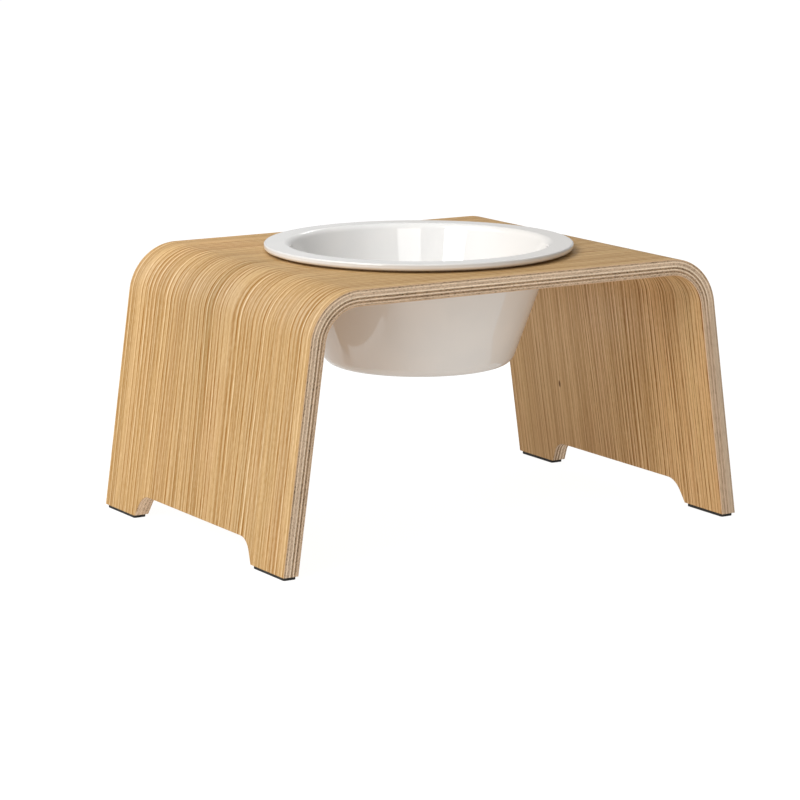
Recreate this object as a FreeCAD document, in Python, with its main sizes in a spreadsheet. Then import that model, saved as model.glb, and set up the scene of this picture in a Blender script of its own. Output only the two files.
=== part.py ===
import FreeCAD, Part
import math
import os
import Sketcher
from FreeCAD import Vector

# Elevated dog feeder: a moulded plywood bridge with splayed legs, a glazed
# bowl hanging by its rim in a round hole, a soft ring under the rim and a thin
# pad under each foot.
#
# Frame: X runs from leg to leg, Y is the depth (the front is -Y), Z is up.
# The origin is on the floor under the middle of the bowl. Lengths are in mm.

doc = FreeCAD.newDocument("elevated_dog_feeder")

# ---------------------------------------------------------------- dimensions
sheet = doc.addObject("Spreadsheet::Sheet", "Sizes")
DIMENSIONS = [
    # stand
    ("stand_height", 199.0),      # floor to the top face of the wood
    ("stand_depth", 273.6),       # front edge to rear edge
    ("flat_half", 132.3),         # middle to the start of each bend
    ("bend_radius", 39.6),        # outer radius of the two bends
    ("leg_splay", 8.0),           # lean of the legs from upright, degrees
    ("hole_radius", 102.0),       # round hole for the bowl
    # plies, from the outer face to the inner face
    ("ply_01", 0.50),             # outer oak face veneer
    ("ply_02", 1.05),             # across
    ("ply_03", 1.15),             # along
    ("ply_04", 1.75),             # across
    ("ply_05", 1.25),             # along
    ("ply_06", 1.40),             # across
    ("ply_07", 1.15),             # along
    ("ply_08", 1.40),             # across
    ("ply_09", 1.00),             # along
    ("ply_10", 0.80),             # across
    ("ply_11", 0.55),             # inner oak face veneer
    # cut-out between the two feet of a leg
    ("notch_height", 19.4),       # floor to the top of the cut-out
    ("notch_half", 80.4),         # half width where side and top would meet
    ("notch_slope", 28.5),        # lean of the sides from upright, degrees
    ("notch_corner", 16.0),       # rounding of the upper corners
    ("notch_below", 2.0),         # the cutting outline starts this far below the floor
    # foot pads
    ("pad_thick", 2.4),
    ("pad_wide", 10.0),
    ("pad_long", 43.6),
    ("pad_corner", 1.6),
    ("pad_x", 188.2),             # middle of a pad from the middle of the stand
    ("pad_y", 113.4),
    # soft ring under the rim
    ("seal_thick", 1.6),
    ("seal_inner", 102.5),
    ("seal_outer", 108.0),
    ("seal_round", 0.4),
    # bowl
    ("rim_radius", 115.0),
    ("rim_thick", 5.0),
    ("rim_round", 1.5),           # rounding of the upper outer rim edge
    ("rim_under", 2.45),          # rounding of the lower outer rim edge
    ("lip_round", 6.0),           # rounding from the flat rim into the bowl
    ("wall_lean", 20.2),          # lean of the wall from upright, degrees
    ("wall_thick", 6.3),
    ("wall_radius", 100.4),       # outside of the wall level with the wood's top
    ("under_round", 2.5),         # rounding under the rim
    ("bowl_bottom", 114.7),       # floor to the underside of the bowl
    ("base_thick", 6.0),
    ("base_round", 11.0),         # outside rounding from wall to base
    ("floor_round", 16.0),        # inside rounding from wall to floor
    ("recess_radius", 52.0),      # shallow recess inside the foot ring
    ("recess_deep", 1.5),
    ("recess_round", 0.6),
]
for row, (alias, value) in enumerate(DIMENSIONS, start=1):
    sheet.set("A%d" % row, alias)
    sheet.set("B%d" % row, repr(value))
    sheet.setAlias("B%d" % row, alias)
doc.recompute()
D = dict(DIMENSIONS)
S = "Sizes."

parts = []  # (name, object) in the order they are written


def tan_deg(a):
    return math.tan(math.radians(a))


def origin_plane(body, role):
    for item in body.Origin.OriginFeatures:
        if item.Role == role:
            return item
    raise RuntimeError("no plane " + role)


def new_body(name):
    body = doc.addObject("PartDesign::Body", name)
    body.Label = name
    parts.append((name, body))
    return body


def new_sketch(body, name, role):
    sketch = body.newObject("Sketcher::SketchObject", name)
    sketch.AttachmentSupport = [(origin_plane(body, role), "")]
    sketch.MapMode = "FlatFace"
    return sketch


def bind(sketch, constraint, name, expression):
    """Adds a driving constraint and binds it to the dimension sheet."""
    index = sketch.addConstraint(constraint)
    sketch.renameConstraint(index, name)
    sketch.setExpression("Constraints." + name, expression)
    return index


def line(x1, y1, x2, y2):
    return Part.LineSegment(Vector(x1, y1, 0), Vector(x2, y2, 0))


def arc(cx, cy, r, start, end):
    circle = Part.Circle(Vector(cx, cy, 0), Vector(0, 0, 1), r)
    return Part.ArcOfCircle(circle, math.radians(start), math.radians(end))


def tangent(sketch, a, pa, b, pb):
    sketch.addConstraint(Sketcher.Constraint("Tangent", a, pa, b, pb))


def coincident(sketch, a, pa, b, pb):
    sketch.addConstraint(Sketcher.Constraint("Coincident", a, pa, b, pb))


# --------------------------------------------------------------------- plies
PLY_NAMES = [
    "outer_oak_veneer",
    "core_ply_1_cross",
    "core_ply_2_long",
    "core_ply_3_cross",
    "core_ply_4_long",
    "core_ply_5_cross",
    "core_ply_6_long",
    "core_ply_7_cross",
    "core_ply_8_long",
    "core_ply_9_cross",
    "inner_oak_veneer",
]
PLY_CELLS = ["ply_%02d" % n for n in range(1, 12)]


def depth_expression(count):
    """Depth below the outer face after so many plies."""
    return " - ".join([S + "bend_radius"] + [S + cell for cell in PLY_CELLS[:count]])


def ply_profile(body, name, number):
    """Side view of one ply: flat top, two concentric bends, two splayed legs
    whose ends are cut level with the top of the foot pads."""
    outer_r = D["bend_radius"] - sum(D[c] for c in PLY_CELLS[:number])
    inner_r = outer_r - D[PLY_CELLS[number]]
    xc, zc, zf = D["flat_half"], D["stand_height"] - D["bend_radius"], D["pad_thick"]
    splay = D["leg_splay"]
    co, si = math.cos(math.radians(splay)), math.sin(math.radians(splay))

    def leg_top(r):
        return xc + r * co, zc + r * si

    def leg_end(r):
        x, z = leg_top(r)
        return x + (z - zf) * tan_deg(splay), zf

    sketch = new_sketch(body, name + "_profile", "XZ_Plane")
    ox, oz = leg_top(outer_r)
    ix, iz = leg_top(inner_r)
    oex, _ = leg_end(outer_r)
    iex, _ = leg_end(inner_r)
    g = sketch.addGeometry(
        [
            line(-xc, zc + outer_r, xc, zc + outer_r),      # 0 outer top
            arc(xc, zc, outer_r, splay, 90),                # 1 outer bend, right
            line(ox, oz, oex, zf),                          # 2 outer leg, right
            line(oex, zf, iex, zf),                         # 3 foot, right
            line(iex, zf, ix, iz),                          # 4 inner leg, right
            arc(xc, zc, inner_r, splay, 90),                # 5 inner bend, right
            line(xc, zc + inner_r, -xc, zc + inner_r),      # 6 inner top
            arc(-xc, zc, inner_r, 90, 180 - splay),         # 7 inner bend, left
            line(-ix, iz, -iex, zf),                        # 8 inner leg, left
            line(-iex, zf, -oex, zf),                       # 9 foot, left
            line(-oex, zf, -ox, oz),                        # 10 outer leg, left
            arc(-xc, zc, outer_r, 90, 180 - splay),         # 11 outer bend, left
        ],
        False,
    )
    tangent(sketch, g[0], 2, g[1], 2)
    tangent(sketch, g[1], 1, g[2], 1)
    coincident(sketch, g[2], 2, g[3], 1)
    coincident(sketch, g[3], 2, g[4], 1)
    tangent(sketch, g[4], 2, g[5], 1)
    tangent(sketch, g[5], 2, g[6], 1)
    tangent(sketch, g[6], 2, g[7], 1)
    tangent(sketch, g[7], 2, g[8], 1)
    coincident(sketch, g[8], 2, g[9], 1)
    coincident(sketch, g[9], 2, g[10], 1)
    tangent(sketch, g[10], 2, g[11], 2)
    tangent(sketch, g[11], 1, g[0], 1)
    coincident(sketch, g[1], 3, g[5], 3)
    coincident(sketch, g[11], 3, g[7], 3)
    sketch.addConstraint(Sketcher.Constraint("Symmetric", g[1], 3, g[11], 3, -2))
    sketch.addConstraint(Sketcher.Constraint("Horizontal", g[3]))
    sketch.addConstraint(Sketcher.Constraint("Horizontal", g[9]))
    sketch.addConstraint(Sketcher.Constraint("Parallel", g[4], g[2]))
    sketch.addConstraint(Sketcher.Constraint("Parallel", g[8], g[10]))
    bind(sketch, Sketcher.Constraint("DistanceX", -1, 1, g[1], 3, xc), "bend_x", S + "flat_half")
    bind(sketch, Sketcher.Constraint("DistanceY", -1, 1, g[1], 3, zc), "bend_z", S + "stand_height - " + S + "bend_radius")
    bind(sketch, Sketcher.Constraint("Radius", g[1], outer_r), "outer_right", depth_expression(number))
    bind(sketch, Sketcher.Constraint("Radius", g[11], outer_r), "outer_left", depth_expression(number))
    bind(sketch, Sketcher.Constraint("Radius", g[5], inner_r), "inner_right", depth_expression(number + 1))
    bind(sketch, Sketcher.Constraint("Radius", g[7], inner_r), "inner_left", depth_expression(number + 1))
    bind(sketch, Sketcher.Constraint("DistanceY", -1, 1, g[3], 1, zf), "foot_right", S + "pad_thick")
    bind(sketch, Sketcher.Constraint("DistanceY", -1, 1, g[9], 1, zf), "foot_left", S + "pad_thick")
    # each leg leans by the splay: the run of the outer line over its drop
    bind(
        sketch,
        Sketcher.Constraint("DistanceX", g[1], 3, g[2], 2, oex - xc),
        "lean_right",
        "(%s) / cos(%sleg_splay) + (%sstand_height - %sbend_radius - %spad_thick) * tan(%sleg_splay)" % ((depth_expression(number),) + (S,) * 5),
    )
    bind(
        sketch,
        Sketcher.Constraint("DistanceX", g[10], 1, g[11], 3, oex - xc),
        "lean_left",
        "(%s) / cos(%sleg_splay) + (%sstand_height - %sbend_radius - %spad_thick) * tan(%sleg_splay)" % ((depth_expression(number),) + (S,) * 5),
    )
    return sketch


def notch_outline(body, name):
    """The cut-out between two feet: slanted sides, rounded upper corners."""
    r, top, slope = D["notch_corner"], D["notch_height"], D["notch_slope"]
    cy = D["notch_half"] - r * tan_deg((90 - slope) / 2)
    cz = top - r
    co, si = math.cos(math.radians(slope)), math.sin(math.radians(slope))
    ty, tz = cy + r * co, cz + r * si
    low = -D["notch_below"]
    by = ty + (tz - low) * tan_deg(slope)
    sketch = new_sketch(body, name + "_notch", "YZ_Plane")
    g = sketch.addGeometry(
        [
            line(-cy, top, cy, top),            # 0 top
            arc(cy, cz, r, slope, 90),          # 1 upper corner
            line(ty, tz, by, low),              # 2 slanted side
            line(by, low, -by, low),            # 3 below the floor
            line(-by, low, -ty, tz),            # 4 slanted side
            arc(-cy, cz, r, 90, 180 - slope),   # 5 upper corner
        ],
        False,
    )
    tangent(sketch, g[0], 2, g[1], 2)
    tangent(sketch, g[1], 1, g[2], 1)
    coincident(sketch, g[2], 2, g[3], 1)
    coincident(sketch, g[3], 2, g[4], 1)
    tangent(sketch, g[4], 2, g[5], 2)
    tangent(sketch, g[5], 1, g[0], 1)
    sketch.addConstraint(Sketcher.Constraint("Horizontal", g[3]))
    sketch.addConstraint(Sketcher.Constraint("Symmetric", g[1], 3, g[5], 3, -2))
    centre = "%snotch_half - %snotch_corner * tan((90 - %snotch_slope) / 2)" % (S, S, S)
    bind(sketch, Sketcher.Constraint("DistanceX", -1, 1, g[1], 3, cy), "corner_y", centre)
    bind(sketch, Sketcher.Constraint("DistanceY", -1, 1, g[1], 3, cz), "corner_z", S + "notch_height - " + S + "notch_corner")
    bind(sketch, Sketcher.Constraint("Radius", g[1], r), "corner_right", S + "notch_corner")
    bind(sketch, Sketcher.Constraint("Radius", g[5], r), "corner_left", S + "notch_corner")
    bind(sketch, Sketcher.Constraint("DistanceY", g[3], 1, -1, 1, -low), "below", S + "notch_below")
    run = "%snotch_corner / cos(%snotch_slope) + (%snotch_height - %snotch_corner + %snotch_below) * tan(%snotch_slope)" % ((S,) * 6)
    bind(sketch, Sketcher.Constraint("DistanceX", g[1], 3, g[2], 2, by - cy), "side_right", run)
    bind(sketch, Sketcher.Constraint("DistanceX", g[4], 1, g[5], 3, by - cy), "side_left", run)
    return sketch


def make_ply(number):
    name = PLY_NAMES[number]
    body = new_body(name)
    profile = ply_profile(body, name, number)
    sheet_pad = body.newObject("PartDesign::Pad", name + "_sheet")
    sheet_pad.Profile = profile
    sheet_pad.SideType = "Symmetric"
    sheet_pad.setExpression("Length", S + "stand_depth")
    doc.recompute()
    whole = sheet_pad.Shape.Volume

    hole = new_sketch(body, name + "_hole", "XY_Plane")
    hole.addGeometry(Part.Circle(Vector(0, 0, 0), Vector(0, 0, 1), D["hole_radius"]), False)
    coincident(hole, 0, 3, -1, 1)
    bind(hole, Sketcher.Constraint("Radius", 0, D["hole_radius"]), "hole", S + "hole_radius")
    bore = body.newObject("PartDesign::Pocket", name + "_bore")
    bore.Profile = hole
    bore.Type = "ThroughAll"
    bore.SideType = "Symmetric"
    doc.recompute()
    bored = bore.Shape.Volume
    expected = math.pi * D["hole_radius"] ** 2 * D[PLY_CELLS[number]]
    if abs((whole - bored) - expected) > 0.01 * expected:
        raise RuntimeError("%s: the hole took %.1f mm3, not %.1f" % (name, whole - bored, expected))

    notch = notch_outline(body, name)
    feet = body.newObject("PartDesign::Pocket", name + "_feet")
    feet.Profile = notch
    feet.Type = "ThroughAll"
    feet.SideType = "Symmetric"
    doc.recompute()
    if not bored - feet.Shape.Volume > 1000 * D[PLY_CELLS[number]]:
        raise RuntimeError("%s: the cut-outs took nothing" % name)
    body.Tip = feet
    return body


for index in range(len(PLY_NAMES)):
    make_ply(index)


# ---------------------------------------------------------------------- bowl
def circles_at(shape, radius, height):
    """Names of the circular edges of this radius at this height."""
    found = []
    for n, edge in enumerate(shape.Edges, start=1):
        curve = edge.Curve
        if isinstance(curve, Part.Circle) and abs(curve.Radius - radius) < 0.02 and abs(curve.Center.z - height) < 0.02:
            found.append("Edge%d" % n)
    if not found:
        raise RuntimeError("no edge of radius %.2f at height %.2f" % (radius, height))
    return found


def add_fillet(body, base, name, places, cell):
    edges = []
    for radius, height in places:
        edges += circles_at(base.Shape, radius, height)
    fillet = body.newObject("PartDesign::Fillet", name)
    fillet.Base = (base, edges)
    fillet.setExpression("Radius", S + cell)
    doc.recompute()
    body.Tip = fillet
    return fillet


lean = tan_deg(D["wall_lean"])
across = D["wall_thick"] / math.cos(math.radians(D["wall_lean"]))
z_top = D["stand_height"]
z_under = z_top + D["seal_thick"]
z_rim = z_under + D["rim_thick"]
z_low = D["bowl_bottom"]
z_floor = z_low + D["base_thick"]
z_recess = z_low + D["recess_deep"]

EX_LEAN = "tan(%swall_lean)" % S
EX_UNDER = "(%sstand_height + %sseal_thick)" % (S, S)
EX_RIM = "(%sstand_height + %sseal_thick + %srim_thick)" % (S, S, S)
EX_FLOOR = "(%sbowl_bottom + %sbase_thick)" % (S, S)
EX_ACROSS = "%swall_thick / cos(%swall_lean)" % (S, S)


def outside(z):
    return D["wall_radius"] + (z - z_top) * lean


def outside_expression(z):
    return "%swall_radius + (%s - %sstand_height) * %s" % (S, z, S, EX_LEAN)


BOWL_OUTLINE = [
    # radius, height, and the expressions that drive them
    (0.0, z_floor, None, EX_FLOOR),
    (outside(z_floor) - across, z_floor, outside_expression(EX_FLOOR) + " - " + EX_ACROSS, EX_FLOOR),
    (outside(z_rim) - across, z_rim, outside_expression(EX_RIM) + " - " + EX_ACROSS, EX_RIM),
    (D["rim_radius"], z_rim, S + "rim_radius", EX_RIM),
    (D["rim_radius"], z_under, S + "rim_radius", EX_UNDER),
    (outside(z_under), z_under, outside_expression(EX_UNDER), EX_UNDER),
    (outside(z_low), z_low, outside_expression(S + "bowl_bottom"), S + "bowl_bottom"),
    (D["recess_radius"], z_low, S + "recess_radius", S + "bowl_bottom"),
    (D["recess_radius"], z_recess, S + "recess_radius", "%sbowl_bottom + %srecess_deep" % (S, S)),
    (0.0, z_recess, None, "%sbowl_bottom + %srecess_deep" % (S, S)),
]

bowl = new_body("bowl")
outline = new_sketch(bowl, "bowl_outline", "XZ_Plane")
count = len(BOWL_OUTLINE)
outline.addGeometry(
    [line(*(BOWL_OUTLINE[n][:2] + BOWL_OUTLINE[(n + 1) % count][:2])) for n in range(count)],
    False,
)
for n in range(count):
    coincident(outline, n, 2, (n + 1) % count, 1)
for n, (radius, height, ex_radius, ex_height) in enumerate(BOWL_OUTLINE):
    if ex_radius is None:
        outline.addConstraint(Sketcher.Constraint("PointOnObject", n, 1, -2))
    else:
        bind(outline, Sketcher.Constraint("DistanceX", -1, 1, n, 1, radius), "radius_%d" % n, ex_radius)
    bind(outline, Sketcher.Constraint("DistanceY", -1, 1, n, 1, height), "height_%d" % n, ex_height)
turned = bowl.newObject("PartDesign::Revolution", "bowl_turned")
turned.Profile = outline
turned.ReferenceAxis = (outline, ["V_Axis"])
turned.Angle = 360
doc.recompute()
step = turned
step = add_fillet(bowl, step, "bowl_rim_edge", [(D["rim_radius"], z_rim)], "rim_round")
step = add_fillet(bowl, step, "bowl_rim_lower_edge", [(D["rim_radius"], z_under)], "rim_under")
step = add_fillet(bowl, step, "bowl_lip", [(outside(z_rim) - across, z_rim)], "lip_round")
step = add_fillet(bowl, step, "bowl_under_rim", [(outside(z_under), z_under)], "under_round")
step = add_fillet(bowl, step, "bowl_base_edge", [(outside(z_low), z_low)], "base_round")
step = add_fillet(bowl, step, "bowl_floor_edge", [(outside(z_floor) - across, z_floor)], "floor_round")
step = add_fillet(bowl, step, "bowl_foot_ring", [(D["recess_radius"], z_low), (D["recess_radius"], z_recess)], "recess_round")

# ----------------------------------------------------------------- soft ring
ring = new_body("bowl_seal_ring")
flat = new_sketch(ring, "seal_flat", "XY_Plane")
flat.setExpression("AttachmentOffset.Base.z", S + "stand_height")
flat.addGeometry(
    [
        Part.Circle(Vector(0, 0, 0), Vector(0, 0, 1), D["seal_outer"]),
        Part.Circle(Vector(0, 0, 0), Vector(0, 0, 1), D["seal_inner"]),
    ],
    False,
)
coincident(flat, 0, 3, -1, 1)
coincident(flat, 1, 3, -1, 1)
bind(flat, Sketcher.Constraint("Radius", 0, D["seal_outer"]), "outer", S + "seal_outer")
bind(flat, Sketcher.Constraint("Radius", 1, D["seal_inner"]), "inner", S + "seal_inner")
raised = ring.newObject("PartDesign::Pad", "seal_raised")
raised.Profile = flat
raised.setExpression("Length", S + "seal_thick")
doc.recompute()
add_fillet(
    ring,
    raised,
    "seal_edges",
    [(D["seal_outer"], z_top), (D["seal_outer"], z_under), (D["seal_inner"], z_top), (D["seal_inner"], z_under)],
    "seal_round",
)


# ----------------------------------------------------------------- foot pads
def make_pad(name, side_x, side_y):
    body = new_body(name)
    w, l = D["pad_wide"] / 2, D["pad_long"] / 2
    sketch = new_sketch(body, name + "_outline", "XY_Plane")
    g = sketch.addGeometry(
        [line(-w, -l, w, -l), line(w, -l, w, l), line(w, l, -w, l), line(-w, l, -w, -l)],
        False,
    )
    for n in range(4):
        coincident(sketch, g[n], 2, g[(n + 1) % 4], 1)
    for n, kind in enumerate(("Horizontal", "Vertical", "Horizontal", "Vertical")):
        sketch.addConstraint(Sketcher.Constraint(kind, g[n]))
    sketch.addConstraint(Sketcher.Constraint("Symmetric", g[0], 1, g[1], 2, -1, 1))
    bind(sketch, Sketcher.Constraint("DistanceX", g[0], 1, g[0], 2, 2 * w), "wide", S + "pad_wide")
    bind(sketch, Sketcher.Constraint("DistanceY", g[1], 1, g[1], 2, 2 * l), "long", S + "pad_long")
    block = body.newObject("PartDesign::Pad", name + "_block")
    block.Profile = sketch
    block.setExpression("Length", S + "pad_thick")
    doc.recompute()
    upright = [
        "Edge%d" % n
        for n, edge in enumerate(block.Shape.Edges, start=1)
        if abs(edge.tangentAt(edge.FirstParameter).z) > 0.99
    ]
    if len(upright) != 4:
        raise RuntimeError(name + ": four upright edges expected")
    corners = body.newObject("PartDesign::Fillet", name + "_corners")
    corners.Base = (block, upright)
    corners.setExpression("Radius", S + "pad_corner")
    doc.recompute()
    body.Tip = corners
    body.setExpression("Placement.Base.x", "%s%spad_x" % ("-" if side_x < 0 else "", S))
    body.setExpression("Placement.Base.y", "%s%spad_y" % ("-" if side_y < 0 else "", S))
    return body


make_pad("foot_pad_front_left", -1, -1)
make_pad("foot_pad_front_right", 1, -1)
make_pad("foot_pad_rear_left", -1, 1)
make_pad("foot_pad_rear_right", 1, 1)

# --------------------------------------------------------------- test, write
doc.recompute()
for item in doc.Objects:
    if "Invalid" in item.State or "Error" in item.State:
        raise RuntimeError("%s failed: %s" % (item.Label, item.State))
for item in doc.Objects:
    if item.TypeId == "Sketcher::SketchObject" and item.FullyConstrained is False:
        print("not fully constrained:", item.Label)
for name, body in parts:
    shape = body.Shape
    if shape.isNull() or not shape.isValid() or len(shape.Solids) != 1:
        raise RuntimeError("%s: bad shape" % name)

os.makedirs("parts", exist_ok=True)
for name, body in parts:
    shape = body.Shape
    shape.exportStep(os.path.join("parts", body.Label + ".step"))
    box = shape.BoundBox
    print(
        "%-22s volume %11.1f mm3   x %8.2f..%8.2f   y %8.2f..%8.2f   z %7.2f..%7.2f"
        % (name, shape.Volume, box.XMin, box.XMax, box.YMin, box.YMax, box.ZMin, box.ZMax)
    )
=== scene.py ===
import math

import bpy
import numpy as np
from mathutils import Matrix, Vector


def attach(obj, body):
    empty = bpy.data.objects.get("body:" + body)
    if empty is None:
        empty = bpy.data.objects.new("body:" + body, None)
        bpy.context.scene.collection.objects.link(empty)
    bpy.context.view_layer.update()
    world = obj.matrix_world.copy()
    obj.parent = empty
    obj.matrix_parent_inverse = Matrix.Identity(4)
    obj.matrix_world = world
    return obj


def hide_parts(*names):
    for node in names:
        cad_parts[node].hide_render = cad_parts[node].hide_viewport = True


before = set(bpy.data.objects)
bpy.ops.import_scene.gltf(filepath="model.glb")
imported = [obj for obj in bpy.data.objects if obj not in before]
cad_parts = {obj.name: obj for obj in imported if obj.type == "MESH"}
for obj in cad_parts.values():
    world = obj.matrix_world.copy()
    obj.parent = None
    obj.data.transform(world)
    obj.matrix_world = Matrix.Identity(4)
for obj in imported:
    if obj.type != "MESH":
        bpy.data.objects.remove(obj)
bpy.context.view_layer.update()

# Elevated dog feeder: bent plywood stand, glazed bowl, soft ring, foot pads.
# The sizes below are those of the CAD pieces, in mm; meshes are in metres.
MM = 0.001
TOP = 199.0                     # floor to the top face of the wood
HALF = 136.8                    # middle to the front or rear edge
FLAT = 132.3                    # middle to the start of a bend
BEND = 39.6                     # outer radius of a bend
SPLAY = math.radians(8.0)       # lean of a leg
HOLE = 102.0                    # radius of the hole
FOOT = 2.4                      # underside of the wood, on the pads
ZC = TOP - BEND
COS, SIN, TAN = math.cos(SPLAY), math.sin(SPLAY), math.tan(SPLAY)
TURN = math.pi / 2 - SPLAY      # how far a bend turns
LEG = (ZC + BEND * SIN - FOOT) / COS
REACH = FLAT + BEND * TURN + LEG   # length of the outer face from the middle to a foot

PLIES = [
    ("outer_oak_veneer", 0.50),
    ("core_ply_1_cross", 1.05),
    ("core_ply_2_long", 1.15),
    ("core_ply_3_cross", 1.75),
    ("core_ply_4_long", 1.25),
    ("core_ply_5_cross", 1.40),
    ("core_ply_6_long", 1.15),
    ("core_ply_7_cross", 1.40),
    ("core_ply_8_long", 1.00),
    ("core_ply_9_cross", 0.80),
    ("inner_oak_veneer", 0.55),
]


# ------------------------------------------------------------------- meshes
class Build:
    """Collects vertices and faces whose corners carry a normal and a map place."""

    def __init__(self):
        self.verts, self.faces, self.normals, self.places, self.slots = [], [], [], [], []

    def add(self, p):
        self.verts.append((p[0] * MM, p[1] * MM, p[2] * MM))
        return len(self.verts) - 1

    def face(self, corners, flip=False, slot=0):
        if flip:
            corners = corners[::-1]
        self.faces.append([c[0] for c in corners])
        self.normals.extend(c[1] for c in corners)
        self.places.extend(c[2] for c in corners)
        self.slots.append(slot)

    def make(self, name):
        mesh = bpy.data.meshes.new(name)
        mesh.from_pydata(self.verts, [], self.faces)
        uv = mesh.uv_layers.new(name="OFBake")
        uv.data.foreach_set("uv", np.array(self.places, np.float32).ravel())
        mesh.polygons.foreach_set("material_index", np.array(self.slots, np.int32))
        mesh.polygons.foreach_set("use_smooth", np.ones(len(self.faces), bool))
        mesh.update()
        mesh.normals_split_custom_set([tuple(Vector(n).normalized()) for n in self.normals])
        piece = bpy.data.objects.new(name, mesh)
        bpy.context.scene.collection.objects.link(piece)
        return piece


def lerp(a, b, f):
    return a + (b - a) * f


def within(rect, u, v):
    return (lerp(rect[0], rect[2], u), lerp(rect[1], rect[3], v))


# The lower end of a leg, seen from the side: feet at the ends, a cut-out with
# slanted sides and rounded corners between them. Each column has its place and
# the normals into the wood of the stretch before and after it.
def leg_end():
    slope, r, top = math.radians(28.5), 16.0, 19.4
    cy, cz = 80.4 - r * math.tan((math.pi / 2 - slope) / 2), top - r
    ty, tz = cy + r * math.cos(slope), cz + r * math.sin(slope)
    by = ty + (tz - FOOT) * math.tan(slope)
    side = (math.cos(slope), math.sin(slope))
    half = []
    for n in range(9):
        half.append((cy * n / 8, top, (0, 1), (0, 1)))
    for n in range(1, 13):
        a = lerp(math.pi / 2, slope, n / 12)
        nn = (math.cos(a), math.sin(a))
        half.append((cy + r * nn[0], cz + r * nn[1], nn, nn))
    for n in range(1, 3):
        half.append((lerp(ty, by, n / 3), lerp(tz, FOOT, n / 3), side, side))
    half.append((by, FOOT, side, (0, 1)))
    for n in range(1, 7):
        half.append((lerp(by, HALF, n / 6), FOOT, (0, 1), (0, 1)))
    left = [(-y, z, (-b[0], b[1]), (-a[0], a[1])) for y, z, a, b in reversed(half[1:])]
    return left + half


COLS = leg_end()
M = len(COLS)
XS = [lerp(-FLAT, FLAT, n / 30) for n in range(31)]
NB, NL, NR = 30, 12, 3
RAYS = (
    [("right", j) for j in range(M)]
    + [("rear", x) for x in reversed(XS[1:-1])]
    + [("left", j) for j in reversed(range(M))]
    + [("front", x) for x in XS[1:-1]]
)
NX = len(XS) - 2


def col_y(j, inset):
    if j == 0:
        return -(HALF - inset)
    if j == M - 1:
        return HALF - inset
    return COLS[j][0]


def flat_pt(k, i, d, inset):
    where, what = RAYS[i]
    if where in ("right", "left"):
        sx = FLAT if where == "right" else -FLAT
        bx, by, base = sx, col_y(what, inset), COLS[what][0]
    else:
        sy = 1 if where == "rear" else -1
        bx, by, base = what, sy * (HALF - inset), sy * HALF
    a = math.atan2(base, bx)
    f = k / NR
    r = HOLE + inset
    return (lerp(r * math.cos(a), bx, f), lerp(r * math.sin(a), by, f), TOP - d)


def bend_pt(side, k, j, d, inset):
    a, r = TURN * k / NB, BEND - d
    return (side * (FLAT + r * math.sin(a)), col_y(j, inset), ZC + r * math.cos(a))


def end_pt(j, inset):
    y, z, before, after = COLS[j]
    if j in (0, M - 1):
        return col_y(j, inset), FOOT + inset * COS
    m = (before[0] + after[0], before[1] + after[1])
    scale = inset / (1 + before[0] * after[0] + before[1] * after[1])
    return y + m[0] * scale, z + m[1] * scale * COS


def leg_pt(side, k, j, d, inset):
    r = BEND - d
    top = ZC + r * SIN
    ey, ez = end_pt(j, inset)
    f = k / NL
    y, z = lerp(col_y(j, inset), ey, f), lerp(top, ez, f)
    return (side * (FLAT + r * COS + (top - z) * TAN), y, z)


def along(side, part, k, z=None):
    """Distance from the middle along the outer face, signed."""
    if part == "bend":
        return side * (FLAT + BEND * TURN * k / NB)
    return side * (FLAT + BEND * TURN + (ZC + BEND * SIN - z) / COS)


def up_normal(side, part, k):
    if part == "flat":
        return (0, 0, 1)
    a = TURN * k / NB if part == "bend" else TURN
    return (side * math.sin(a), 0, math.cos(a))


class Layer:
    """One level of a ply: the outline's vertices, and the whole face if asked."""

    def __init__(self, build, d, inset, whole):
        self.d, self.inset = d, inset
        n = len(RAYS)
        first = 0 if whole else NR
        self.ring = {}
        for k in range(first, NR + 1):
            keep = range(n) if whole else range(2 * M + 2 * NX)
            for i in keep:
                where, what = RAYS[i]
                edge = where in ("rear", "front") or what in (0, M - 1)
                if whole or edge:
                    self.ring[k, i] = build.add(flat_pt(k, i, d, inset))
        if not whole:
            for i in range(n):
                self.ring[0, i] = build.add(flat_pt(0, i, d, inset))
        self.bend, self.leg = {}, {}
        for side in (1, -1):
            for j in range(M):
                edge = j in (0, M - 1)
                if whole or edge:
                    self.bend[side, 0, j] = self.ring[NR, self.ray(side, j)]
                    for k in range(1, NB + 1):
                        self.bend[side, k, j] = build.add(bend_pt(side, k, j, d, inset))
                    self.leg[side, 0, j] = self.bend[side, NB, j]
                for k in range(1, NL + 1):
                    if whole or edge or k == NL:
                        self.leg[side, k, j] = build.add(leg_pt(side, k, j, d, inset))

    @staticmethod
    def ray(side, j):
        return j if side > 0 else M + NX + (M - 1 - j)

    def long_edge(self, j):
        """(vertex, distance along, face normal) over the top along one edge."""
        out = []
        for k in range(NL, 0, -1):
            z = leg_pt(-1, k, j, 0, 0)[2]
            out.append((self.leg[-1, k, j], along(-1, "leg", k, z), up_normal(-1, "leg", k)))
        for k in range(NB, -1, -1):
            out.append((self.bend[-1, k, j], along(-1, "bend", k), up_normal(-1, "bend", k)))
        if j == 0:
            rays = [2 * M + NX + n for n in range(NX)]
        else:
            rays = [M + n for n in reversed(range(NX))]
        for i in rays:
            out.append((self.ring[NR, i], RAYS[i][1], (0, 0, 1)))
        for k in range(0, NB + 1):
            out.append((self.bend[1, k, j], along(1, "bend", k), up_normal(1, "bend", k)))
        for k in range(1, NL + 1):
            z = leg_pt(1, k, j, 0, 0)[2]
            out.append((self.leg[1, k, j], along(1, "leg", k, z), up_normal(1, "leg", k)))
        return out


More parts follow.
